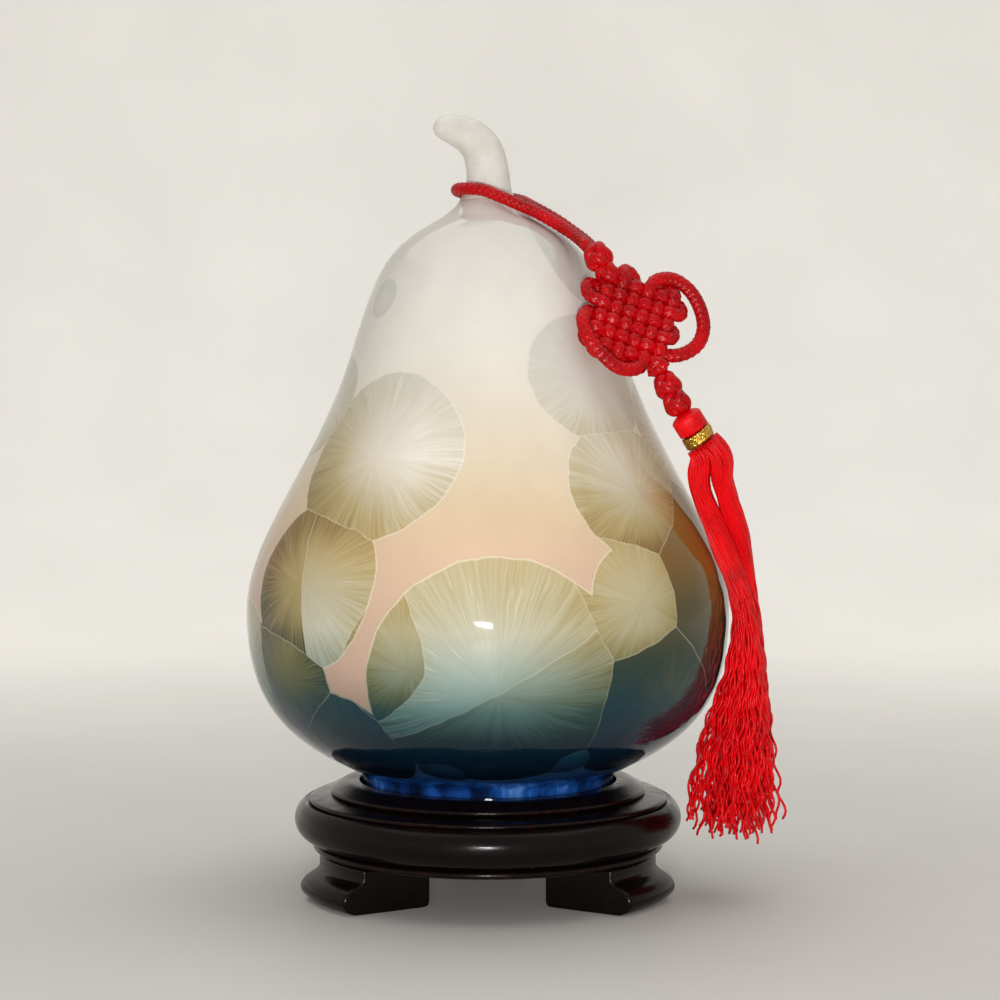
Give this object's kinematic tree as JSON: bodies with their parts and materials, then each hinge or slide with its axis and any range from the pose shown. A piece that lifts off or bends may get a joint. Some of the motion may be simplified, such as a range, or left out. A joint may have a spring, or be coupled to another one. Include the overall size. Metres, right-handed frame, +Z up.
{
  "type": "porcelain gourd ornament on stand",
  "caption": "Pear-shaped glazed porcelain gourd with a curved stem, seated in the recess of a turned wooden stand, with a knotted cord and fringed tassel round its stem.",
  "frame": {"origin": "on the table, under the centre of the stand", "axes": "+Z up along the axis of the gourd, front towards -Y, the stem leans towards -X and the tassel hangs on the +X side"},
  "size_m": [0.143, 0.132, 0.2125],
  "materials": {
    "lacquered_wood": "near-black gloss lacquer over dark hardwood",
    "bare_wood": "bare dowel",
    "crystalline_glaze": "glossy crystalline glaze on porcelain",
    "white_glaze": "glossy white glaze on porcelain",
    "red_cord": "braided satin cord",
    "red_thread": "rayon tassel thread",
    "gold_thread": "metallised gold thread"
  },
  "bodies": {
    "stand": {"stand_ring": "lacquered_wood", "stand_foot_right": "lacquered_wood", "stand_foot_back": "lacquered_wood", "stand_foot_left": "lacquered_wood", "foot_dowel_right": "bare_wood", "foot_dowel_back": "bare_wood", "foot_dowel_left": "bare_wood"},
    "gourd": {"gourd_body": "crystalline_glaze", "gourd_stem": "white_glaze"},
    "cord_loop": {"hanging_cord": "red_cord", "top_knot": "red_cord"},
    "knot": {"knot_strand_rows": "red_cord", "knot_strand_columns": "red_cord", "lower_knot": "red_cord"},
    "tassel": {"tassel_cap": "red_thread", "gold_band": "gold_thread", "fringe_lock_front": "red_thread", "fringe_lock_back": "red_thread"}
  },
  "joints": [
    {"name": "gourd_lift", "type": "slide", "parent": "stand", "child": "gourd", "axis": [0, 0, 1], "range_m": [0, 0.06]},
    {"name": "tassel_turn", "type": "hinge", "parent": "gourd", "child": "cord_loop", "pos_m": [0, 0, 0.19], "axis": [0, 0, 1], "continuous": true},
    {"name": "knot_swing", "type": "hinge", "parent": "cord_loop", "child": "knot", "pos_m": [0.02898, -0.02378, 0.17136], "axis": [-0.5592, -0.829, 0], "range_deg": [0, 75]},
    {"name": "tassel_swing", "type": "hinge", "parent": "knot", "child": "tassel", "pos_m": [0.04931, -0.02793, 0.13304], "axis": [-0.4929, -0.8701, 0], "range_deg": [0, 70]}
  ]
}
